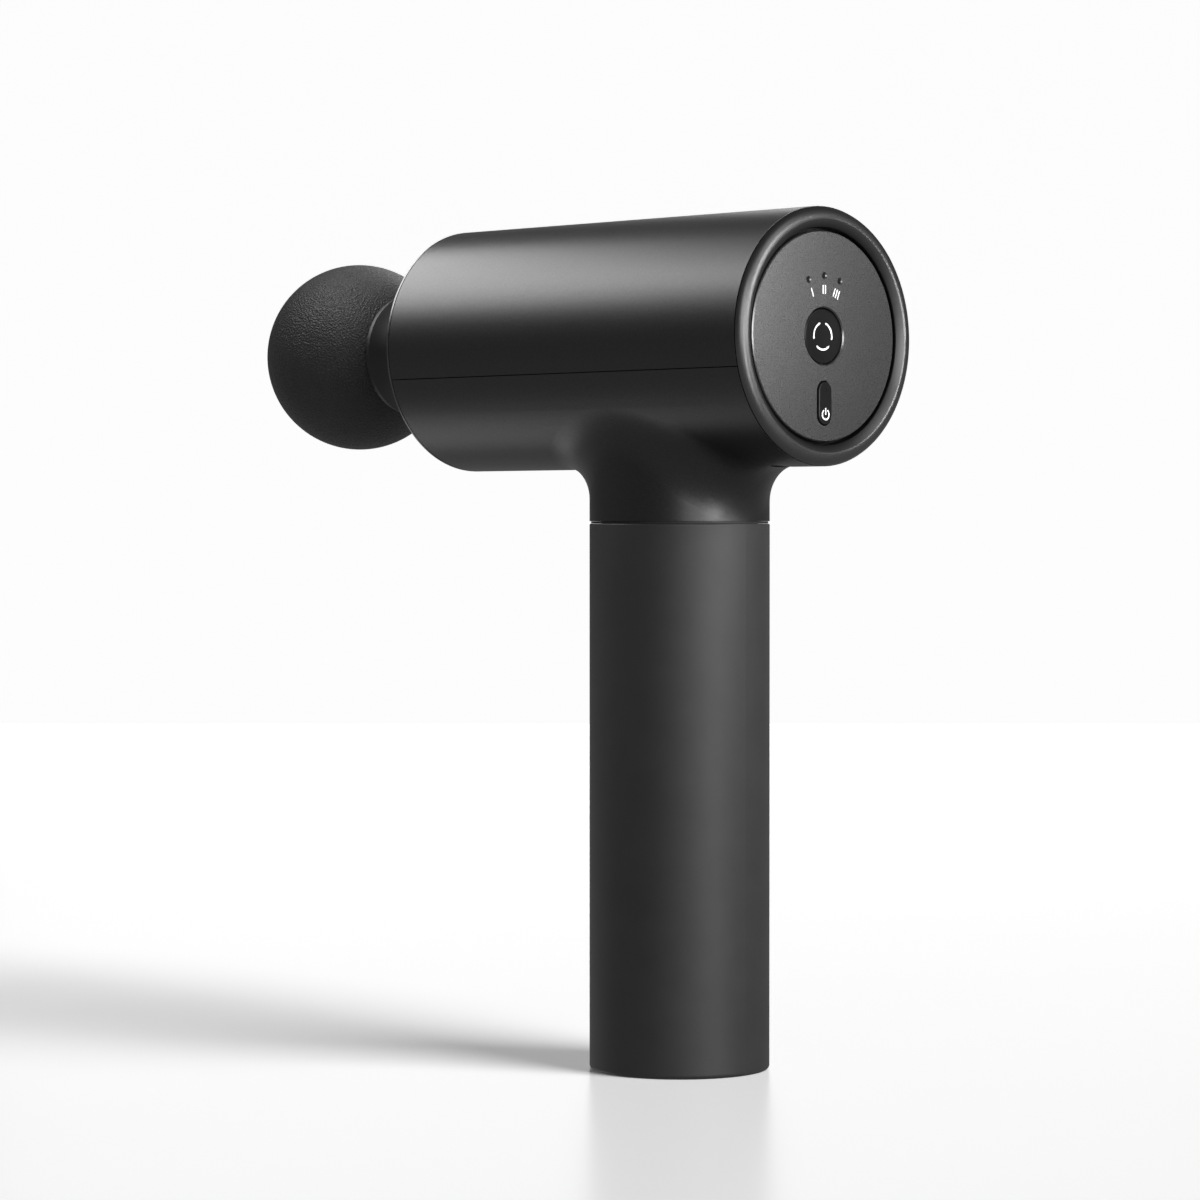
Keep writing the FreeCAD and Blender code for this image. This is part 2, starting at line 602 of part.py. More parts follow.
def grip_end_cap():
    """The foot's flat plate, with three deep screw wells."""
    cap = rod_z(CAP_R, 0.0, 5.95)
    rim = [e for e in cap.Edges if e.Closed and abs(e.Vertexes[0].Z) < 1e-6]
    cap = cap.makeFillet(0.4, rim)
    cap = cap.cut(rod_z(14.0, 2.4, 10))
    for x, y in cap_screw_places():
        cap = cap.cut([rod_z(1.15, -1, 8, x, y), rod_z(2.2, -1, 3.55, x, y)])
    return cap.removeSplitter()


def end_cap_screws():
    return joined([pan_screw(0.85, 10.0, 2.0, 1.5, V(x, y, 13.5), V(0, 0, -1))
                   for x, y in cap_screw_places()])


def cell_centres():
    return around_z(CELL_R * 2 / math.sqrt(3) + 0.1, (0, 120, 240))


def battery_cells():
    """Three 18 mm cells side by side, each with its positive end up."""
    cells = []
    for x, y in cell_centres():
        can = rod_z(CELL_R, CELL_Z0, CELL_Z1 - 1.0, x, y)
        can = can.makeFillet(0.6, [e for e in can.Edges if e.Closed])
        cells.append(can.fuse(rod_z(3.0, CELL_Z1 - 1.2, CELL_Z1, x, y)).removeSplitter())
    return joined(cells)


def battery_tray(z0, z1, cup_from, cup_to):
    """A moulded end tray with a cup for each cell, a hole in the middle and a notch for the leads."""
    tray = rod_z(TRAY_R, z0, z1)
    for x, y in cell_centres():
        tray = tray.cut(rod_z(CELL_R + GAP, cup_from, cup_to, x, y))
    return tray.cut(rod_z(1.6, z0 - 1, z1 + 1)).cut(rod_z(LEAD_NOTCH[0], z0 - 1, z1 + 1, LEAD_NOTCH[1]))


def battery_trays():
    low = battery_tray(CELL_Z0 - 4.0, CELL_Z0 + 5.0, CELL_Z0 - GAP, CELL_Z0 + 6)
    high = battery_tray(CELL_Z1 - 6.0, CELL_Z1 + 2.5, CELL_Z1 - 7, CELL_Z1 + GAP)
    return joined([low, high])


def battery_board():
    return rod_z(17.0, CELL_Z1 + 3.0, CELL_Z1 + 4.6).cut(rod_z(LEAD_NOTCH[0], 100, 130, LEAD_NOTCH[1]))


def battery_spacer():
    """A tube that carries the cells' weight down to the grip tube's ledge."""
    tube = rod_z(19.9, 9.0 + GAP, CELL_Z0 - 4.0 - GAP).cut(rod_z(18.2, 9, 60))
    return tube.cut([rod_z(2.9, 9, 16.5, x, y) for x, y in cap_screw_places()])


# ---- drive frame and motor ----
RING_X0, RING_X1 = -70.0, -44.0          # the frame's ring round the guide bush
RING_R = 20.0
BUSH_R = 16.5
FRAME_SLOT = (18.2, 22.4, -10.5, 8.0)    # x and y limits of the slot for the leads


SLIDE_FIT = 0.03         # between the plunger and its bush

# the outrunner motor, upright in the neck
MOTOR_SCREW_R = 9.5
TUBE_R = 6.4             # the base's tube inside the stator
SHAFT_R = 2.5
BEARING_R = 5.0
BEARING_H = 4.0
LOW_BEARING_Z, HIGH_BEARING_Z = 151.2, 164.0
BEARING_BALLS = 8
BALL_SHARE, RACE_SHARE = 0.27, 0.32      # ball radius and race wall, of the bearing's ring width
STATOR_R = 14.6
STATOR_Z0, STATOR_Z1 = 151.5, 162.0
TEETH = 9
BELL_Z0, BELL_Z1 = 147.4, 162.6
MAGNETS = 12


def drive_frame():
    """Cast frame: a plate that the motor hangs from, and the ring that holds the guide bush."""
    plate = box(-70, 28, -18.5, 18.5, PLATE_Z, PLATE_TOP)
    plate = plate.makeFillet(4.0, edges_along(plate, Z_AXIS))
    ring = rod_x(RING_R, RING_X0, RING_X1)
    feet = box(RING_X0, RING_X1, -16.0, 16.0, PLATE_Z, BARREL_Z - 4)
    webs = [box(RING_X1 - 1, -22.0, y - 1.2, y + 1.2, PLATE_Z, PLATE_Z + 9) for y in (9.4, -9.4)]
    frame = plate.fuse([ring, feet] + webs)
    frame = frame.cut([rod_x(BUSH_R + GAP, RING_X0 - 1, RING_X1 + 1), rod_z(6.2, 160, PLATE_TOP + 1)])
    frame = frame.cut(rod_x(PISTON_R + 0.3, RING_X1, -18).common(box(-60, 0, -30, 30, PLATE_TOP, 300)))
    frame = frame.cut(box(*FRAME_SLOT, 160, 175))
    for x, y in FRAME_BOSSES:
        frame = frame.cut(rod_z(2.6, 160, 175, x, y))
    for x, y in motor_screw_places():
        frame = frame.cut([rod_z(1.2, 160, 175, x, y), rod_z(2.2, PLATE_TOP - 1.1, 175, x, y)])
    return frame.removeSplitter()


def frame_grommets():
    """Rubber bushes that keep the frame's vibration out of the shells."""
    found = []
    for x, y in FRAME_BOSSES:
        below = rod_z(3.6, PLATE_Z - GROMMET_H, PLATE_Z - GAP, x, y)
        waist = rod_z(2.55, PLATE_Z - GAP, PLATE_TOP + GAP, x, y)
        above = rod_z(3.4, PLATE_TOP + GAP, PLATE_TOP + 1.2, x, y)
        found.append(below.fuse([waist, above]).cut(rod_z(1.35, 150, 180, x, y)).removeSplitter())
    return joined(found)


def frame_screws():
    return joined([pan_screw(1.2, 11.6, 2.7, 1.8, V(x, y, PLATE_TOP + 1.25 - 11.6), V(0, 0, 1))
                   for x, y in FRAME_BOSSES])


def guide_bushing():
    """The plain bearing that the plunger slides in."""
    return rod_x(BUSH_R, RING_X0, RING_X1).cut(rod_x(PISTON_R + SLIDE_FIT, -90, -30))


def motor_screw_places():
    return around_z(MOTOR_SCREW_R, (45, 135, 225, 315))


def motor_base():
    """The flange under the plate and the tube that carries the stator and both bearings."""
    base = rod_z(14.0, 165.0, PLATE_Z - GAP).fuse(rod_z(TUBE_R, LOW_BEARING_Z, 166.0))
    base = base.cut([rod_z(BEARING_R + 0.02, 151.0, LOW_BEARING_Z + BEARING_H),
                     rod_z(BEARING_R + 0.02, HIGH_BEARING_Z, 170), rod_z(3.6, 150, 170)])
    base = base.cut([rod_z(1.0, 165.4, 169, x, y) for x, y in motor_screw_places()])
    return base.removeSplitter()


def ball_bearing(inner_r, outer_r, z0, z1, x=0.0):
    """A ball bearing about an upright axis at x: two races and the balls, as separate solids."""
    middle = (inner_r + outer_r) / 2
    ball_r = (outer_r - inner_r) * BALL_SHARE
    centre = (z0 + z1) / 2
    torus = Part.makeTorus(middle, ball_r + 0.03, V(x, 0, centre), Z_AXIS)
    wall = (outer_r - inner_r) * RACE_SHARE
    inner = rod_z(inner_r + wall, z0, z1, x).cut([rod_z(inner_r, z0 - 1, z1 + 1, x), torus])
    outer = rod_z(outer_r, z0, z1, x).cut([rod_z(outer_r - wall, z0 - 1, z1 + 1, x), torus])
    spots = around_z(middle, [360 * k / BEARING_BALLS for k in range(BEARING_BALLS)])
    return [inner, outer] + [Part.makeSphere(ball_r, V(x + dx, dy, centre)) for dx, dy in spots]


def motor_bearings():
    """The two bearings in the base's tube."""
    inner = SHAFT_R + 0.02
    low = ball_bearing(inner, BEARING_R, LOW_BEARING_Z, LOW_BEARING_Z + BEARING_H - GAP)
    high = ball_bearing(inner, BEARING_R, HIGH_BEARING_Z + GAP, HIGH_BEARING_Z + BEARING_H - GAP)
    return joined(low + high)


def motor_stator():
    """The laminated core: a hub with nine teeth, each with a curved shoe."""
    core = rod_z(8.6, STATOR_Z0, STATOR_Z1)
    for k in range(TEETH):
        tooth = box(8.0, 13.4, -1.3, 1.3, STATOR_Z0, STATOR_Z1)
        shoe = rod_z(STATOR_R, STATOR_Z0, STATOR_Z1).cut(rod_z(13.2, 140, 180))
        shoe = shoe.common(box(11.0, 16.0, -4.0, 4.0, STATOR_Z0, STATOR_Z1))
        arm = tooth.fuse(shoe)
        arm.rotate(V(0, 0, 0), Z_AXIS, 360.0 * k / TEETH)
        core = core.fuse(arm)
    return core.cut(rod_z(TUBE_R + GAP, 140, 180)).removeSplitter()


def motor_windings():
    """A coil round each tooth."""
    coils = []
    for k in range(TEETH):
        coil = box(9.2, 12.5, -2.5, 2.5, STATOR_Z0 - 0.9, STATOR_Z1 + 0.9)
        coil = coil.makeFillet(0.8, edges_along(coil, X_AXIS))
        coil = coil.cut(box(9.0, 14.5, -1.35, 1.35, STATOR_Z0 - 0.05, STATOR_Z1 + 0.05))
        coil.rotate(V(0, 0, 0), Z_AXIS, 360.0 * k / TEETH)
        coils.append(coil)
    return joined(coils)


def motor_bell():
    """The rotor's cup, open at the top, with six holes in its floor."""
    bell = rod_z(BELL_R, BELL_Z0, BELL_Z1).cut(rod_z(BELL_R - 1.2, BELL_Z0 + 1.8, 170))
    bell = bell.makeFillet(0.8, [e for e in bell.Edges if e.Closed and abs(e.Vertexes[0].Z - BELL_Z0) < 1e-6])
    for k in range(6):
        hole = rod_z(3.0, BELL_Z0 - 1, BELL_Z0 + 3, 10.4, 0)
        hole.rotate(V(0, 0, 0), Z_AXIS, 60.0 * k)
        bell = bell.cut(hole)
    bell = bell.fuse(rod_z(4.4, BELL_Z0, 150.6))
    return bell.cut(rod_z(SHAFT_R, 140, 170)).removeSplitter()


def motor_magnets():
    """Curved magnets inside the bell, 0.4 mm clear of the stator."""
    outer, inner = BELL_R - 1.25, STATOR_R + 0.4
    ring = rod_z(outer, BELL_Z0 + 2.6, BELL_Z1 - 0.4).cut(rod_z(inner, 140, 180))
    found = []
    for k in range(MAGNETS):
        magnet = ring.common(box(10, 20, -3.6, 3.6, 140, 180))
        magnet.rotate(V(0, 0, 0), Z_AXIS, 360.0 * k / MAGNETS)
        found.append(magnet)
    return joined(found)


DISC_Z0, DISC_Z1 = 172.0, 178.0          # crank disc
DISC_R = 11.5
PIN_R = 3.97
PIN_SEAT = (2.6, 0.6)    # radius of the pin's hole in the disc, and how far it is set out from the pin
CRANK_BEARING = (4.0, 8.0, BARREL_Z - 2.5, BARREL_Z + 2.5)     # inner and outer radius, bottom, top


def motor_shaft():
    return rod_z(SHAFT_R - 0.005, BELL_Z0, DISC_Z1 - 0.1)


def crank_disc():
    """The disc on the shaft's top, with an eccentric hole for the crank pin."""
    disc = rod_z(DISC_R, DISC_Z0, DISC_Z1)
    disc = disc.cut([rod_z(SHAFT_R, 160, 190), rod_z(PIN_SEAT[0], 160, 190, CRANK_THROW + PIN_SEAT[1])])
    rims = [e for e in disc.Edges if e.Closed and abs(e.BoundBox.XLength - 2 * DISC_R) < 0.1]
    return disc.makeFillet(0.6, rims)


def crank_counterweight():
    """A sector on the far side from the crank pin, which balances the rod and plunger."""
    sector = rod_z(17.5, DISC_Z0, 180.4).cut(rod_z(DISC_R + GAP, 160, 190))
    return sector.common(box(-20, -2.0, -20, 20, 160, 190))


def crank_pin():
    """A root pressed into the disc, a shoulder, and the journal inside the crank bearing."""
    root = rod_z(PIN_SEAT[0] - GAP, DISC_Z0 + 0.2, DISC_Z1, CRANK_THROW + PIN_SEAT[1])
    shoulder = rod_z(5.4, DISC_Z1, CRANK_BEARING[2] - GAP, CRANK_THROW)
    journal = rod_z(PIN_R, DISC_Z1, CRANK_BEARING[3] + 0.1, CRANK_THROW)
    pin = root.fuse([shoulder, journal]).cut(rod_z(1.3, 181.0, 195, CRANK_THROW))
    return pin.removeSplitter()


def crank_pin_screw():
    """The screw and washer that keep the crank bearing on its pin."""
    seat = CRANK_BEARING[3] + 0.95
    washer = rod_z(5.2, CRANK_BEARING[3] + 0.15, seat, CRANK_THROW)
    screw = pan_screw(1.25, 7.0, 2.7, 1.8, V(CRANK_THROW, 0, seat - 7.0), V(0, 0, 1))
    return washer.fuse(screw).removeSplitter()


def motor_screws():
    return joined([pan_screw(0.95, 4.2, 2.0, 0.9, V(x, y, PLATE_TOP - 1.05 - 4.2), V(0, 0, 1))
                   for x, y in motor_screw_places()])


# ---- connecting rod and plunger ----
ROD_HALF_T = 3.5
WRIST_R = 2.5
WRIST_HALF = 13.1        # half the wrist pin's length
SOCKET_R = 7.6           # the plunger's socket for the head
SOCKET_END = -57.0
CAVITY_R = 11.6          # inside of the plunger's skirt


def connecting_rod():
    """Big end, small end and a beam between them with a pocket in both faces."""
    z0, z1 = BARREL_Z - ROD_HALF_T, BARREL_Z + ROD_HALF_T
    big = rod_z(10.6, z0, z1, CRANK_THROW)
    small = rod_z(5.2, z0, z1, WRIST_X)
    rod = big.fuse([small, box(WRIST_X, CRANK_THROW, -3.6, 3.6, z0, z1)])
    for low in (z0 - 1, z1 - 1.6):
        rod = rod.cut(box(WRIST_X + 7.5, CRANK_THROW - 12.5, -2.2, 2.2, low, low + 2.6))
    bearing_seat = rod_z(CRANK_BEARING[1] + 0.02, 170, CRANK_BEARING[3] + GAP, CRANK_THROW)
    rod = rod.cut([bearing_seat, rod_z(7.2, 170, 200, CRANK_THROW), rod_z(WRIST_R + 0.01, 170, 200, WRIST_X)])
    return rod.removeSplitter()


def crank_bearing():
    return joined(ball_bearing(*CRANK_BEARING, CRANK_THROW))


def wrist_pin():
    pin = rod_z(WRIST_R, BARREL_Z - WRIST_HALF, BARREL_Z + WRIST_HALF, WRIST_X)
    return pin.makeChamfer(0.4, [e for e in pin.Edges if e.Closed])


def plunger():
    """Hollow plunger: a socket for the head in front, and a slotted skirt round the wrist pin behind."""
    body = revolve_x([
        (PISTON_FRONT, SOCKET_R), (PISTON_FRONT, PISTON_R - 0.8), (PISTON_FRONT + 0.8, PISTON_R),
        (PISTON_REAR, PISTON_R), (PISTON_REAR, CAVITY_R), (-48.0, CAVITY_R), (-50.0, 9.0), (-52.0, 0.0),
        (SOCKET_END, 0.0), (SOCKET_END, SOCKET_R)])
    path_y = CRANK_THROW + WRIST_R + 0.4
    path_x = WRIST_R + 1.5
    window = box(WRIST_X - path_x, WRIST_X + path_x, -path_y, path_y, BARREL_Z - 20, BARREL_Z + 20)
    window = window.makeFillet(2.0, edges_along(window, Z_AXIS))
    return body.cut(window).removeSplitter()


def socket_liner():
    """A plastic liner that grips the head's stem."""
    return rod_x(SOCKET_R - GAP, PISTON_FRONT + 0.3, SOCKET_END - 0.2).cut(rod_x(STEM_R + 0.1, -90, -50))


# ---- head ----
STEM_R = 6.85            # the stem that plugs into the plunger
STEM_END = -58.5
BASE_BACK = -80.3        # rear of the base's neck
BASE_NECK_R = 13.2
CORE_R = 9.0             # the core that the ball is moulded on
CORE_FRONT = -117.0
RING_PLACES = (-74.5, -64.5)


def head_base():
    """Moulded base: a flared neck with a seat for the ball, a core inside it, and the stem."""
    body = revolve_x([
        (CORE_FRONT, 0), (CORE_FRONT, CORE_R - 0.8), (CORE_FRONT + 0.8, CORE_R), (FLANGE_X, CORE_R),
        (FLANGE_X, FLANGE_R - 0.35), (FLANGE_X + 0.35, FLANGE_R),
        (FLANGE_X + 1.5, FLANGE_R, FLANGE_X + 8.2, 14.0), (-84.0, BASE_NECK_R),
        (BASE_BACK - 0.5, BASE_NECK_R), (BASE_BACK, BASE_NECK_R - 0.5), (BASE_BACK, STEM_R),
        (STEM_END - 0.8, STEM_R), (STEM_END, STEM_R - 0.8), (STEM_END, 0)])
    body = body.cut(Part.makeSphere(BALL_R + GAP, V(BALL_X, 0, BARREL_Z)).cut(rod_x(CORE_R, -150, -90)))
    for x in RING_PLACES:
        body = body.cut(Part.makeTorus(STEM_R - 0.85, 0.95, V(x, 0, BARREL_Z), X_AXIS))
    return body.removeSplitter()


def stem_rings():
    """Rubber rings that hold the stem in its socket."""
    return joined([Part.makeTorus(STEM_R - 0.85, 0.9, V(x, 0, BARREL_Z), X_AXIS) for x in RING_PLACES])


def massage_ball():
    """A hollow rubber ball with a thick sleeve round the base's core."""
    centre = V(BALL_X, 0, BARREL_Z)
    air = Part.makeSphere(BALL_R - BALL_WALL, centre).cut(rod_x(CORE_R + 2.6, CORE_FRONT - 2.6, -90))
    return Part.makeSphere(BALL_R, centre).cut([air, rod_x(CORE_R + GAP, CORE_FRONT - GAP, -90)])


# ---- wires ----
def battery_leads():
    """Positive and negative leads from the pack's board to the driver board, past the motor."""
    route = [(14.5, CELL_Z1 + 4.65), (14.5, 140.5), (19.3, 147.0), (19.3, 160.0), (20.3, 168.0),
             (20.3, 177.5), (DRIVER_X0 - GAP, 177.5)]
    return joined([tube_along([(x, y, z) for x, z in route], 0.65, 2.6) for y in (2.4, 5.2)])


def motor_leads():
    """Three phase leads from the windings to the driver board."""
    z = (BELL_Z1 + 165.0) / 2
    route = [(11.8, z), (20.4, z), (20.4, 174.5), (DRIVER_X0 - GAP, 174.5)]
    return joined([tube_along([(x, y, z) for x, z in route], 0.6, 2.4) for y in (-3.4, -5.6, -7.8)])


NODES = [
    upper_housing, lower_housing, front_cover, front_cover_screws, front_trim, front_dust_seal,
    rear_bezel, bezel_screws, control_panel, speed_led_lenses, speed_button, power_button,
    power_led_lens, key_switches, speed_switch_plunger, power_switch_plunger, control_board, board_leds,
    panel_screws, driver_board, driver_transistors, driver_capacitor, panel_ribbon, charging_board,
    usb_c_socket, neck_gasket, grip_sleeve, grip_tube, grip_end_cap, end_cap_screws, battery_cells,
    battery_trays, battery_board, battery_spacer, drive_frame, frame_grommets, frame_screws,
    guide_bushing, motor_base, motor_bearings, motor_stator, motor_windings, motor_bell, motor_magnets,
    motor_shaft, crank_disc, crank_counterweight, crank_pin, crank_pin_screw, motor_screws,
    connecting_rod, crank_bearing, wrist_pin, plunger, socket_liner, head_base, stem_rings,
    massage_ball, battery_leads, motor_leads,
]


def main():
    """Builds every node and writes it to parts/, named after its function."""
    os.makedirs("parts", exist_ok=True)
    for make in NODES:
        name, shape = make.__name__, make()
        if not shape.isValid() or not shape.Solids:
            raise ValueError(f"{name} is not a valid solid")
        shape.exportStep(f"parts/{name}.step")
        print(f"{name}: {len(shape.Solids)} solids, {shape.Volume:.1f} mm3")


main()
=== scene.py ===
"""Looks for the massage gun: materials, printed marks, moulded detail, studio and camera.

Metres, in the CAD frame: +Z up, +X to the rear control panel, origin at the centre of the foot.
"""
import bpy
import bmesh
import json
import math
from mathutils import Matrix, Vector

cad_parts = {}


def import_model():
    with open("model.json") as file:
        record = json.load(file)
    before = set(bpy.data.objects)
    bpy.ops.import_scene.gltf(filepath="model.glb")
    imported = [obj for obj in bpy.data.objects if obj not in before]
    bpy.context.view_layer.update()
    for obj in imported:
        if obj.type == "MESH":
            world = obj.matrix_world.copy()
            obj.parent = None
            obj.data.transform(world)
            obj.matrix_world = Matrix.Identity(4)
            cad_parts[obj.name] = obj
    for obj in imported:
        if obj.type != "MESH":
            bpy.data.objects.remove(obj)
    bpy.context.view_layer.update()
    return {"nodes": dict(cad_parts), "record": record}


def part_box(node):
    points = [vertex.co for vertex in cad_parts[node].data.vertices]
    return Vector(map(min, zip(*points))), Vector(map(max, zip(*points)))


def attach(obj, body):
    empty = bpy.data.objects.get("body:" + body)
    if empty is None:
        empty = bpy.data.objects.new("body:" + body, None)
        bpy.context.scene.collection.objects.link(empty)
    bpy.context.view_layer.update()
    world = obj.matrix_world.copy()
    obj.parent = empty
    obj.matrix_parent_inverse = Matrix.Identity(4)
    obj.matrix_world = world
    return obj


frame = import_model()
nodes = frame["nodes"]
MM = 0.001


# ---- places, all from the CAD model ----
def corners(node):
    """Lowest and highest corner of a CAD node."""
    low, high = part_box(node)
    return Vector(low), Vector(high)


def middle(node):
    """Centre of a CAD node's box."""
    low, high = corners(node)
    return (low + high) / 2


PANEL_X = corners("control_panel")[1].x      # the panel's face
AXIS_Z = middle("rear_bezel").z              # height of the barrel's axis
SPEED_FACE = corners("speed_button")[1].x    # rim of the speed key
POWER_FACE = corners("power_button")[1].x
POWER_Z = middle("power_button").z


# ---- material building blocks ----
INPUTS = {
    "metallic": "Metallic", "ior": "IOR", "roughness": "Roughness", "specular": "Specular IOR Level",
    "sheen": "Sheen Weight", "sheen_roughness": "Sheen Roughness",
    "emission": "Emission Strength", "emission_colour": "Emission Color",
}


def set_inputs(node, **values):
    """Sets a node's input sockets; the names are the socket names with _ for each space."""
    for key, value in values.items():
        node.inputs[key.replace("_", " ")].default_value = value


class Shader:
    """A material whose Principled shader is fed by noise, patterns and bumps in object space."""

    def __init__(self, name, **settings):
        self.material = bpy.data.materials.new(name)
        self.material.use_nodes = True
        self.tree = self.material.node_tree
        self.bsdf = self.tree.nodes["Principled BSDF"]
        self.place = self.add("ShaderNodeTexCoord").outputs["Object"]
        self.normal = None
        for key, value in settings.items():
            self.bsdf.inputs[INPUTS[key]].default_value = value

    def add(self, kind, **settings):
        node = self.tree.nodes.new(kind)
        for key, value in settings.items():
            setattr(node, key, value)
        return node

    def link(self, out, into):
        self.tree.links.new(out, into)

    def stretched(self, factors):
        """Object coordinates scaled per axis, for grain that runs one way."""
        node = self.add("ShaderNodeMapping")
        set_inputs(node, Scale=factors)
        self.link(self.place, node.inputs["Vector"])
        return node.outputs["Vector"]

    def noise(self, size, detail=3.0, stretch=None):
        """A noise between 0 and 1 with features of about this size, in metres."""
        node = self.add("ShaderNodeTexNoise")
        set_inputs(node, Scale=1.0 / size, Detail=detail)
        self.link(self.stretched(stretch) if stretch else self.place, node.inputs["Vector"])
        return node.outputs["Fac"]

    def voronoi(self, size):
        """A pattern of cells of about this size, in metres."""
        node = self.add("ShaderNodeTexVoronoi", feature="F1")
        set_inputs(node, Scale=1.0 / size)
        self.link(self.place, node.inputs["Vector"])
        return node

    def cells(self, size):
        """Distance to the middle of the nearest cell, for pores."""
        return self.voronoi(size).outputs["Distance"]

    def flake_shade(self, size):
        """One value per cell, for flakes."""
        grey = self.add("ShaderNodeRGBToBW")
        self.link(self.voronoi(size).outputs["Color"], grey.inputs["Color"])
        return grey.outputs["Val"]

    def ramp(self, fac, *stops):
        """Maps a value through colour stops, each (position, colour or grey)."""
        node = self.add("ShaderNodeValToRGB")
        while len(node.color_ramp.elements) < len(stops):
            node.color_ramp.elements.new(0.5)
        for element, (position, colour) in zip(node.color_ramp.elements, stops):
            element.position = position
            rgb = colour if isinstance(colour, tuple) else (colour, colour, colour)
            element.color = (*rgb, 1.0)
        self.link(fac, node.inputs["Fac"])
        return node.outputs["Color"]

    def between(self, fac, low, high, start=0.3, stop=0.7):
        """Maps start..stop onto low..high."""
        node = self.add("ShaderNodeMapRange")
        set_inputs(node, From_Min=start, From_Max=stop, To_Min=low, To_Max=high)
        self.link(fac, node.inputs["Value"])
        return node.outputs["Result"]

    def from_axis(self, node):
        """Distance from the barrel's axis, measured in the object space of a CAD node."""
        centre = nodes[node].matrix_world.inverted() @ Vector((0, 0, AXIS_Z))
        offset = self.add("ShaderNodeVectorMath", operation="SUBTRACT")
        self.link(self.place, offset.inputs[0])
        offset.inputs[1].default_value = centre
        across = self.add("ShaderNodeVectorMath", operation="MULTIPLY")
        self.link(offset.outputs["Vector"], across.inputs[0])
        across.inputs[1].default_value = (0, 1, 1)
        length = self.add("ShaderNodeVectorMath", operation="LENGTH")
        self.link(across.outputs["Vector"], length.inputs[0])
        return length.outputs["Value"]

    def scaled(self, colour, factor):
        """A colour times a value."""
        node = self.add("ShaderNodeVectorMath", operation="SCALE")
        self.link(colour, node.inputs[0])
        self.link(factor, node.inputs["Scale"])
        return node.outputs["Vector"]

    def bump(self, height, depth):
        """Adds relief of a real depth in metres on top of any earlier relief."""
        node = self.add("ShaderNodeBump")
        set_inputs(node, Strength=1.0, Distance=depth)
        self.link(height, node.inputs["Height"])
        if self.normal is not None:
            self.link(self.normal, node.inputs["Normal"])
        self.normal = node.outputs["Normal"]
        self.link(self.normal, self.bsdf.inputs["Normal"])

    def colour(self, out):
        """Feeds the base colour."""
        self.link(out, self.bsdf.inputs["Base Color"])

    def roughness(self, out):
        """Feeds the roughness."""
        self.link(out, self.bsdf.inputs["Roughness"])


MOTTLE = 6 * MM             # size of the faint colour patches in plastic


def moulded(name, low, high, rough, grain=0.25 * MM, depth=0.006 * MM, **settings):
    """Moulded plastic or rubber: a faint mottle in colour and gloss, and a fine spark-eroded grain."""
    s = Shader(name, **settings)
    s.colour(s.ramp(s.noise(MOTTLE, 4.0), (0.35, low), (0.65, high)))
    fine = s.noise(grain, 2.0)
    s.roughness(s.between(fine, rough - 0.04, rough + 0.04))
    s.bump(fine, depth)
    return s.material


def metal(name, low, high, rough, grain=0.3 * MM, stretch=(1, 1, 1)):
    """Metal with a machined or cast grain."""
    s = Shader(name, metallic=1.0)
    lines = s.noise(grain, 4.0, stretch=stretch)
    s.colour(s.ramp(s.noise(4 * MM, 4.0), (0.35, low), (0.65, high)))
    s.roughness(s.between(lines, rough - 0.07, rough + 0.07))
    s.bump(lines, 0.002 * MM)
    return s.material


FLAKE_METALLIC = 0.9        # paint with metal flakes is nearly all metal to the light
SHELL_DARK, SHELL_MIDDLE, SHELL_BRIGHT = 0.045, 0.06, 0.095
SHELL_ROUGH = 0.38


def shell_paint():
    """Satin dark-grey paint: fine metallic flakes in a smooth film with a trace of orange peel."""
    s = Shader("shell_paint", metallic=FLAKE_METALLIC)
    shades = (0.0, SHELL_DARK), (0.75, SHELL_MIDDLE), (1.0, SHELL_BRIGHT)
    s.colour(s.ramp(s.flake_shade(0.09 * MM), *shades))
    s.roughness(s.between(s.noise(0.8 * MM, 4.0), SHELL_ROUGH - 0.02, SHELL_ROUGH + 0.02))
    s.bump(s.noise(0.2 * MM, 2.0), 0.0008 * MM)
    s.bump(s.noise(2.5 * MM, 2.0), 0.002 * MM)
    return s.material


BEZEL_LIP_R = 26.8 * MM     # painted shade: the ring's colour darkens from its slope's outer radius in to the lip at the panel, where the recess lies in shadow
BEZEL_SLOPE_R = 28.6 * MM
PAINTED_SHADE_AT_LIP = 0.25


def bezel_metal():
    """The rear ring: brighter and smoother than the shell, with painted shade darkening its colour down at
    the panel, where the recess is in shadow.
    """
    s = Shader("bezel_plastic", metallic=FLAKE_METALLIC)
    flakes = s.ramp(s.flake_shade(0.08 * MM), (0.0, 0.08), (1.0, 0.13))
    # painted shade: the flake colour is scaled down towards the lip by the panel, standing in for the
    # shadow in the recess
    painted_lip_shade = s.between(s.from_axis("rear_bezel"), PAINTED_SHADE_AT_LIP, 1.0, BEZEL_LIP_R, BEZEL_SLOPE_R)
    s.colour(s.scaled(flakes, painted_lip_shade))
    s.roughness(s.between(s.noise(1.0 * MM, 4.0), 0.35, 0.38))
    s.bump(s.noise(0.3 * MM, 2.0), 0.0003 * MM)
    return s.material


def panel_paint():
    """The control panel: bead-blasted, so it sparkles faintly."""
    s = Shader("panel_plastic", metallic=FLAKE_METALLIC)
    s.colour(s.ramp(s.flake_shade(0.16 * MM), (0.0, 0.08), (0.8, 0.11), (1.0, 0.17)))
    s.roughness(s.between(s.noise(0.35 * MM, 4.0), 0.26, 0.31))
    s.bump(s.noise(0.22 * MM, 3.0), 0.003 * MM)
    return s.material


def sleeve_rubber():
    """Matte silicone with a fine even texture."""
    s = Shader("sleeve_rubber", specular=0.42, sheen=0.02, sheen_roughness=0.5)
    s.colour(s.ramp(s.noise(9 * MM, 4.0), (0.3, 0.023), (0.7, 0.027)))
    fine = s.noise(0.3 * MM, 3.0)
    s.roughness(s.between(fine, 0.5, 0.58))
    s.bump(fine, 0.01 * MM)
    return s.material


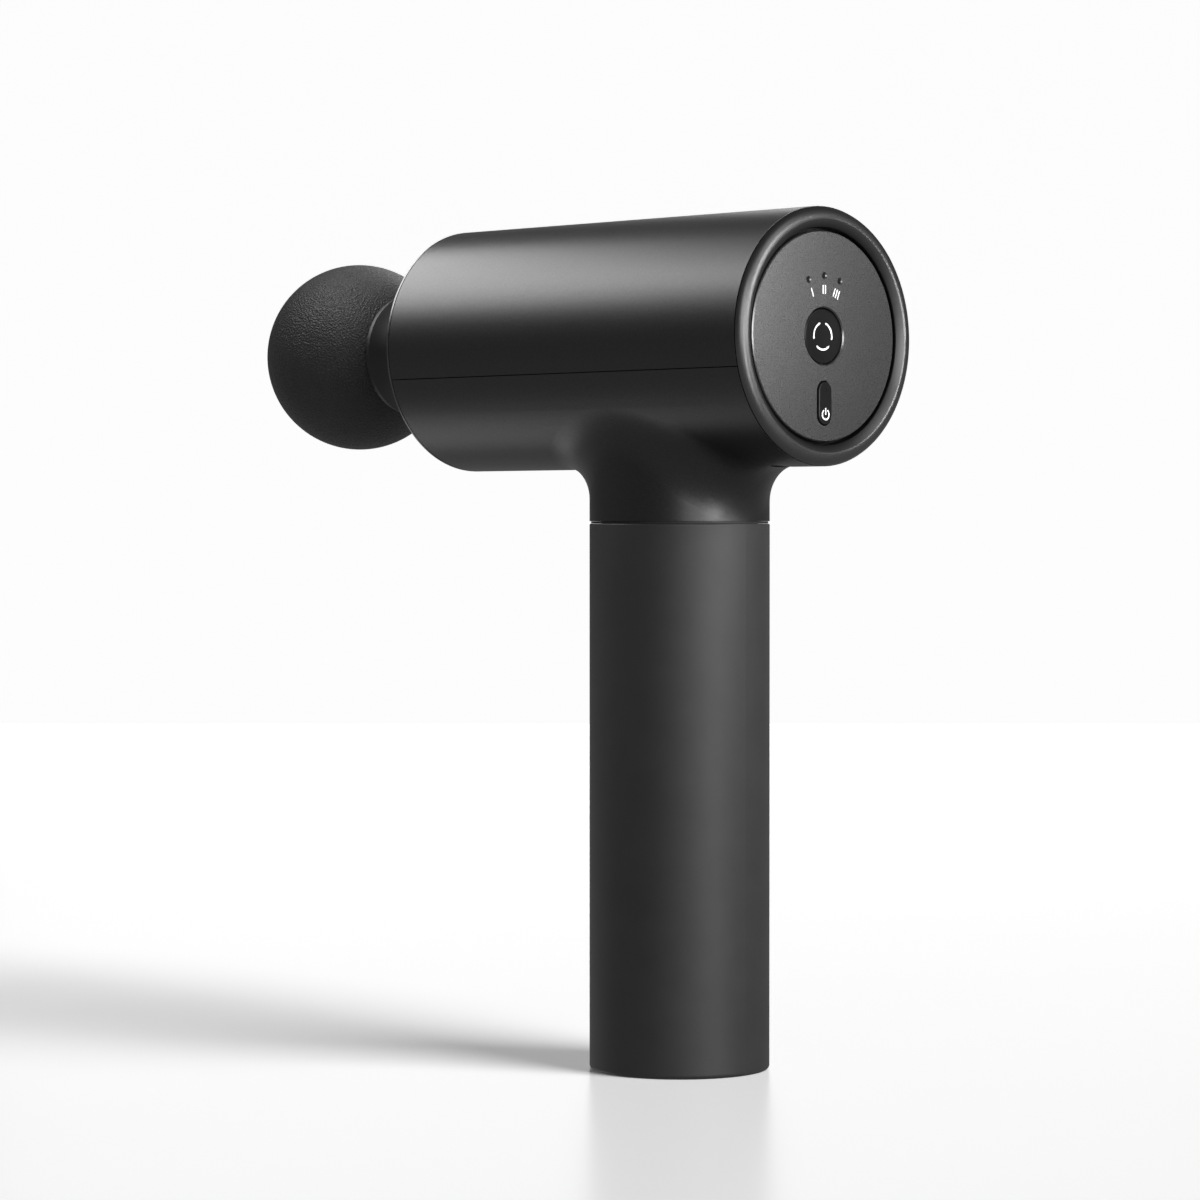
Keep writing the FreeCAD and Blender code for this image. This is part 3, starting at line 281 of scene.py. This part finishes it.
def ball_rubber():
    """Dense closed-cell rubber: black, with pin-sized glints where its skin is open."""
    s = Shader("ball_rubber", specular=0.5)
    s.colour(s.ramp(s.noise(5 * MM, 4.0), (0.3, 0.017), (0.7, 0.023)))
    s.roughness(s.between(s.noise(0.5 * MM, 3.0), 0.4, 0.6))
    s.bump(s.cells(0.55 * MM), 0.2 * MM)
    s.bump(s.noise(0.45 * MM, 2.0), 0.2 * MM)
    return s.material


def smoked_lens():
    """A light guide that looks nearly black until its lamp is on."""
    s = Shader("lens", roughness=0.12, ior=1.5)
    s.colour(s.ramp(s.noise(0.4 * MM, 3.0), (0.3, 0.006), (0.7, 0.012)))
    s.bump(s.noise(0.5 * MM, 2.0), 0.001 * MM)
    return s.material


def white_print():
    """Pad-printed white ink, slightly uneven."""
    s = Shader("white_print")
    s.colour(s.ramp(s.noise(0.25 * MM, 3.0), (0.3, 0.8), (0.7, 0.88)))
    s.roughness(s.between(s.noise(0.15 * MM, 3.0), 0.4, 0.5))
    s.bump(s.noise(0.12 * MM, 3.0), 0.002 * MM)
    return s.material


palette = {
    "shell_paint": shell_paint(),
    "cover_plastic": moulded("cover_plastic", 0.09, 0.12, 0.3, metallic=FLAKE_METALLIC),
    "bezel_plastic": bezel_metal(),
    "panel_plastic": panel_paint(),
    "key_plastic": moulded("key_plastic", 0.011, 0.015, 0.36, 0.12 * MM, 0.002 * MM),
    "lens": smoked_lens(),
    "sleeve_rubber": sleeve_rubber(),
    "ball_rubber": ball_rubber(),
    "head_plastic": moulded("head_plastic", 0.014, 0.019, 0.45),
    "seal_rubber": moulded("seal_rubber", 0.010, 0.014, 0.6),
    "inner_plastic": moulded("inner_plastic", 0.04, 0.05, 0.5),
    "plunger_plastic": moulded("plunger_plastic", 0.5, 0.56, 0.35),
    "cast_alloy": metal("cast_alloy", 0.45, 0.55, 0.42),
    "steel": metal("steel", 0.5, 0.6, 0.32),
    "screw_steel": metal("screw_steel", 0.08, 0.12, 0.34),
    "bearing_steel": metal("bearing_steel", 0.65, 0.72, 0.16),
    "magnet": metal("magnet", 0.4, 0.5, 0.28),
    "copper": metal("copper", (0.6, 0.25, 0.12), (0.75, 0.33, 0.16), 0.3, 0.2 * MM, (1, 1, 0.1)),
    "circuit_board": moulded("circuit_board", (0.008, 0.07, 0.03), (0.013, 0.1, 0.045), 0.35),
    "chip_plastic": moulded("chip_plastic", 0.012, 0.018, 0.45),
    "cell_wrap": moulded("cell_wrap", (0.03, 0.12, 0.3), (0.04, 0.15, 0.36), 0.35),
    "wire_red": moulded("wire_red", (0.35, 0.01, 0.01), (0.42, 0.015, 0.015), 0.4),
}
for entry in frame["record"]["subparts"]:
    obj = nodes[entry["node"]]
    obj.data.materials.clear()
    obj.data.materials.append(palette[entry["material_slot"]])


# ---- broken edges on the control panel, for the thin glints along its rim and holes ----
edge = nodes["control_panel"].modifiers.new("broken_edge", "BEVEL")
edge.width = 0.2 * MM
edge.segments = 2
edge.limit_method = "ANGLE"
edge.angle_limit = math.radians(50)
edge.harden_normals = True


# ---- printed marks ----
INK = 0.02 * MM          # thickness of the ink
WHITE = white_print()


def ink(name, body, shapes, surface):
    """A printed mark of bands, each two matching edges of (y, z) points, laid on surface(y, z) -> x."""
    bm = bmesh.new()
    for left, right in shapes:
        verts = []
        for y, z in left + right[::-1]:
            verts.append(bm.verts.new((surface(y, z) + INK / 2, y, z)))
        count = len(left)
        for k in range(count - 1):
            bm.faces.new((verts[k], verts[2 * count - 1 - k], verts[2 * count - 2 - k], verts[k + 1]))
    bmesh.ops.recalc_face_normals(bm, faces=bm.faces)
    mesh = bpy.data.meshes.new(name)
    bm.to_mesh(mesh)
    bm.free()
    piece = bpy.data.objects.new(name, mesh)
    piece.data.materials.append(WHITE)
    bpy.context.collection.objects.link(piece)
    thick = piece.modifiers.new("thickness", "SOLIDIFY")
    thick.thickness = INK
    thick.offset = 0
    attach(piece, body)


END_FLOOR = 0.02            # keeps the rounded ends of an arc from closing to a point


def arc_band(radius, width, start, stop, z0, steps=24):
    """Two edges of an arc with rounded ends; angles are in degrees from the top, towards +Y."""
    half = width / 2
    left, right = [], []
    bulge = math.degrees(half / radius)
    for k in range(steps + 1):
        angle = start - bulge + (stop - start + 2 * bulge) * k / steps
        over = max(start - angle, angle - stop, 0.0) / bulge
        h = half * math.sqrt(max(1.0 - over * over, END_FLOOR))
        a = math.radians(angle)
        left.append(((radius - h) * math.sin(a), z0 + (radius - h) * math.cos(a)))
        right.append(((radius + h) * math.sin(a), z0 + (radius + h) * math.cos(a)))
    return left, right


def stroke(angle, offset, r0, r1, width, z0):
    """A short straight stroke along a radius, moved sideways by offset."""
    a = math.radians(angle)
    out, side = (math.sin(a), math.cos(a)), (math.cos(a), -math.sin(a))
    half = width / 2
    edges = []
    for shift in (offset - half, offset + half):
        edges.append([(r * out[0] + shift * side[0], z0 + r * out[1] + shift * side[1]) for r in (r0, r1)])
    return edges[0], edges[1]


def on_panel(y, z):
    """The panel's flat face."""
    return PANEL_X


def on_power_key(y, z):
    """The power key's flat face."""
    return POWER_FACE


DISH_RIM = 5.9 * MM      # the speed key's dish: its radius and depth
DISH_DEPTH = 0.35 * MM


def on_dish(y, z):
    """The speed key's hollow face."""
    r = math.hypot(y, z - AXIS_Z)
    return SPEED_FACE - DISH_DEPTH * (1 - (r / DISH_RIM) ** 2)


LEVEL_ANGLES = {1: -22.3, 2: 0.0, 3: 22.8}      # degrees from the top, by number of strokes
LEVEL_SPACING = 0.85 * MM
LEVEL_SPAN = (10.4 * MM, 12.6 * MM)             # inner and outer radius of a stroke
ARC_MIDDLES = (60, 180, 300)
ARC_HALF = 40                                   # half the sweep of one arc, in degrees
SIGN_DROP = 2.8 * MM                            # power sign's centre below the middle of its key
SIGN_GAP = 38                                   # where the power sign's ring stops short of the top


def printed_marks():
    """Level marks I, II and III under the lamps, the speed key's three arcs, and the power sign."""
    for count, angle in LEVEL_ANGLES.items():
        offsets = [(k - (count - 1) / 2) * LEVEL_SPACING for k in range(count)]
        strokes = [stroke(angle, offset, *LEVEL_SPAN, 0.33 * MM, AXIS_Z) for offset in offsets]
        ink(f"level_mark_{count}", "housing", strokes, on_panel)
    arcs = [arc_band(3.3 * MM, 0.48 * MM, centre - ARC_HALF, centre + ARC_HALF, AXIS_Z)
            for centre in ARC_MIDDLES]
    ink("speed_key_arcs", "speed_key", arcs, on_dish)
    sign_z = POWER_Z - SIGN_DROP
    ring = arc_band(1.22 * MM, 0.4 * MM, SIGN_GAP, 360 - SIGN_GAP, sign_z, 40)
    bar = stroke(0, 0, -0.1 * MM, 1.55 * MM, 0.38 * MM, sign_z)
    ink("power_sign", "power_key", [ring, bar], on_power_key)


printed_marks()


# ---- studio ----
CAMERA_AZIMUTH = math.radians(44.82)
CAMERA_PITCH = math.radians(1.018)
CAMERA_DISTANCE = 1.0137
CAMERA_SIDE = -0.0187
CAMERA_HEIGHT = 0.1377
CAMERA_LENS = 119.1
CAMERA_SENSOR = 36.0
CAMERA_SHIFT = -0.0053

RIGHT = Vector((math.cos(CAMERA_AZIMUTH), math.sin(CAMERA_AZIMUTH), 0))
AHEAD = Vector((-math.sin(CAMERA_AZIMUTH), math.cos(CAMERA_AZIMUTH), 0))
ORIGIN = Vector((0, 0, 0))

FLOOR_HALF = 4.0
FLOOR_GLOW = 0.06
BACKDROP_HALF = 0.5
BACKDROP_HEIGHT = 0.55
BACKDROP_AWAY = 1.8
WALL_GLOW = 0.85
FLOOR_SUN = 4.7
FLOOR_SUN_ANGLE = 32
WORLD_ABOVE = 0.07       # light on the gun from above the horizon
WORLD_BELOW = 0.26       # and from below it
WORLD_SEEN = 0.965       # what the camera sees


def camera():
    """The main view: a long lens at +X and -Y, a little above the middle of the gun."""
    data = bpy.data.cameras.new("camera")
    data.lens, data.sensor_width = CAMERA_LENS, CAMERA_SENSOR
    data.shift_x = CAMERA_SHIFT
    obj = bpy.data.objects.new("camera", data)
    obj.location = -AHEAD * CAMERA_DISTANCE + RIGHT * CAMERA_SIDE + Vector((0, 0, CAMERA_HEIGHT))
    look = AHEAD * math.cos(CAMERA_PITCH) - Vector((0, 0, math.sin(CAMERA_PITCH)))
    obj.rotation_euler = look.to_track_quat("-Z", "Y").to_euler()
    bpy.context.collection.objects.link(obj)
    bpy.context.scene.camera = obj


def flat_stage(name, outline, glow, roughness, specular=0.5):
    """A flat pale stage piece through four corners."""
    bm = bmesh.new()
    bm.faces.new([bm.verts.new(corner) for corner in outline])
    mesh = bpy.data.meshes.new(name)
    bm.to_mesh(mesh)
    bm.free()
    obj = bpy.data.objects.new(name, mesh)
    bpy.context.collection.objects.link(obj)
    s = Shader(name, roughness=roughness, specular=specular, emission=glow, emission_colour=(1, 1, 1, 1))
    s.colour(s.ramp(s.noise(0.4, 2.0), (0.3, 0.79), (0.7, 0.81)))
    obj.data.materials.append(s.material)
    obj.visible_diffuse = False
    return obj


def floor():
    """A pale glossy floor that throws no light back up."""
    h = FLOOR_HALF
    outline = [(-h, -h, 0), (h, -h, 0), (h, h, 0), (-h, h, 0)]
    obj = flat_stage("floor", outline, FLOOR_GLOW, 0.28, 0.2)
    obj.visible_glossy = False
    obj.visible_shadow = False
    return obj


def backdrop():
    """A low white wall behind the gun; two area lights of its size throw its light."""
    half, height = BACKDROP_HALF, BACKDROP_HEIGHT
    outline = [AHEAD * BACKDROP_AWAY + RIGHT * side + Vector((0, 0, z))
               for side, z in ((-half, 0.0), (half, 0.0), (half, height), (-half, height))]
    obj = flat_stage("backdrop", outline, WALL_GLOW, 0.6)
    obj.visible_glossy = False
    return obj


def placed_light(name, kind, azimuth, elevation, distance, aim, watts):
    """A light that shines at aim; azimuth is in degrees to the right of the camera's side."""
    a, e = math.radians(azimuth), math.radians(elevation)
    level = RIGHT * math.sin(a) - AHEAD * math.cos(a)
    away = level * math.cos(e) + Vector((0, 0, math.sin(e)))
    data = bpy.data.lights.new(name, kind)
    data.energy = watts
    obj = bpy.data.objects.new(name, data)
    obj.location = aim + away * distance
    obj.rotation_euler = (-away).to_track_quat("-Z", "Y").to_euler()
    bpy.context.collection.objects.link(obj)
    return obj


def link_light(light, pieces, state):
    """Keeps a light to these pieces (INCLUDE) or off them (EXCLUDE)."""
    listed = bpy.data.collections.new(light.name + "_linked")
    light.light_linking.receiver_collection = listed
    for piece in pieces:
        listed.objects.link(piece)
    for member in listed.collection_objects:
        member.light_linking.link_state = state


def softbox(name, azimuth, elevation, distance, size, watts, aim, spared=(), only=()):
    """A rectangular soft box for the gun without its spared pieces, or for a few pieces only.

    The floor and backdrop are left out unless they are listed, since they have their own light.
    """
    light = placed_light(name, "AREA", azimuth, elevation, distance, aim, watts)
    light.data.shape = "RECTANGLE"
    light.data.size, light.data.size_y = size
    if only:
        link_light(light, only, "INCLUDE")
    else:
        link_light(light, (ground, wall, *spared), "EXCLUDE")


def floor_light():
    """An even light on the floor, from the right, so that the gun's soft shadow falls to the left."""
    light = placed_light("floor_light", "SUN", 54, 42, 2.0, ORIGIN, FLOOR_SUN)
    light.data.angle = math.radians(FLOOR_SUN_ANGLE)
    link_light(light, (ground,), "INCLUDE")


def world():
    """White to look at, and a dim light on the gun, a little stronger from below as from a pale table."""
    sky = bpy.data.worlds.new("world")
    bpy.context.scene.world = sky
    sky.use_nodes = True
    tree = sky.node_tree
    way = tree.nodes.new("ShaderNodeTexCoord")
    split = tree.nodes.new("ShaderNodeSeparateXYZ")
    tree.links.new(way.outputs["Generated"], split.inputs["Vector"])
    dim = tree.nodes.new("ShaderNodeMapRange")
    set_inputs(dim, From_Min=-0.15, From_Max=0.1, To_Min=WORLD_BELOW, To_Max=WORLD_ABOVE)
    tree.links.new(split.outputs["Z"], dim.inputs["Value"])
    path = tree.nodes.new("ShaderNodeLightPath")
    strength = tree.nodes.new("ShaderNodeMapRange")
    set_inputs(strength, To_Max=WORLD_SEEN)
    tree.links.new(path.outputs["Is Camera Ray"], strength.inputs["Value"])
    tree.links.new(dim.outputs["Result"], strength.inputs["To Min"])
    background = tree.nodes["Background"]
    set_inputs(background, Color=(1, 1, 1, 1))
    tree.links.new(strength.outputs["Result"], background.inputs["Strength"])


camera()
ground = floor()
wall = backdrop()
world()
floor_light()
bpy.context.scene.view_settings.view_transform = "Standard"

GRIP_MIDDLE = Vector((0, 0, 0.1))
BARREL_MIDDLE = Vector((0, 0, AXIS_Z))
PANEL_MIDDLE = Vector((PANEL_X, 0, AXIS_Z))
BALL_MIDDLE = middle("massage_ball")
BALL, BEZEL, PANEL = nodes["massage_ball"], nodes["rear_bezel"], nodes["control_panel"]
KEYS = (nodes["speed_button"], nodes["power_button"])
WALL_SIZE = (2 * BACKDROP_HALF, BACKDROP_HEIGHT)

# name, azimuth, elevation, distance, size, watts, aim
softbox("key", 56, 42, 1.2, (0.6, 0.6), 2, GRIP_MIDDLE)
softbox("over_barrel", -122, 34, 0.9, (0.8, 0.32), 6.6, BARREL_MIDDLE, spared=(BALL, BEZEL))
softbox("panel_side", 70, 14, 0.24, (0.05, 0.12), 0.75, PANEL_MIDDLE, spared=(*KEYS, BEZEL))
softbox("wall_on_gun", 180, 5, BACKDROP_AWAY, WALL_SIZE, 0.25, GRIP_MIDDLE, spared=(BEZEL,))
softbox("wall_on_floor", 180, 8.7, BACKDROP_AWAY, WALL_SIZE, 1.9, ORIGIN, only=(ground,))
softbox("front", 16, 14, 1.0, (0.4, 0.6), 3.2, BARREL_MIDDLE)
softbox("front_right", 42, 4, 1.0, (0.3, 0.6), 4.6, GRIP_MIDDLE)
softbox("top", 0, 88, 1.0, (0.8, 0.8), 0.8, BARREL_MIDDLE, spared=(BEZEL,))
softbox("behind", 165, 35, 1.2, (0.6, 0.6), 3.2, BARREL_MIDDLE, spared=(BEZEL,))
softbox("table_glow", -130, -38, 0.9, (0.4, 0.3), 0.45, BARREL_MIDDLE, spared=(BALL, BEZEL))
softbox("bezel_side", 68, 14, 0.24, (0.05, 0.12), 0.32, PANEL_MIDDLE, only=(BEZEL,))
softbox("edge_glint", -4, 4, 1.0, (0.2, 0.5), 7.0, PANEL_MIDDLE, only=(PANEL, nodes["front_cover"]))
softbox("over_ball", -80, 68, 0.8, (0.6, 0.5), 5.5, BALL_MIDDLE, only=(BALL,))
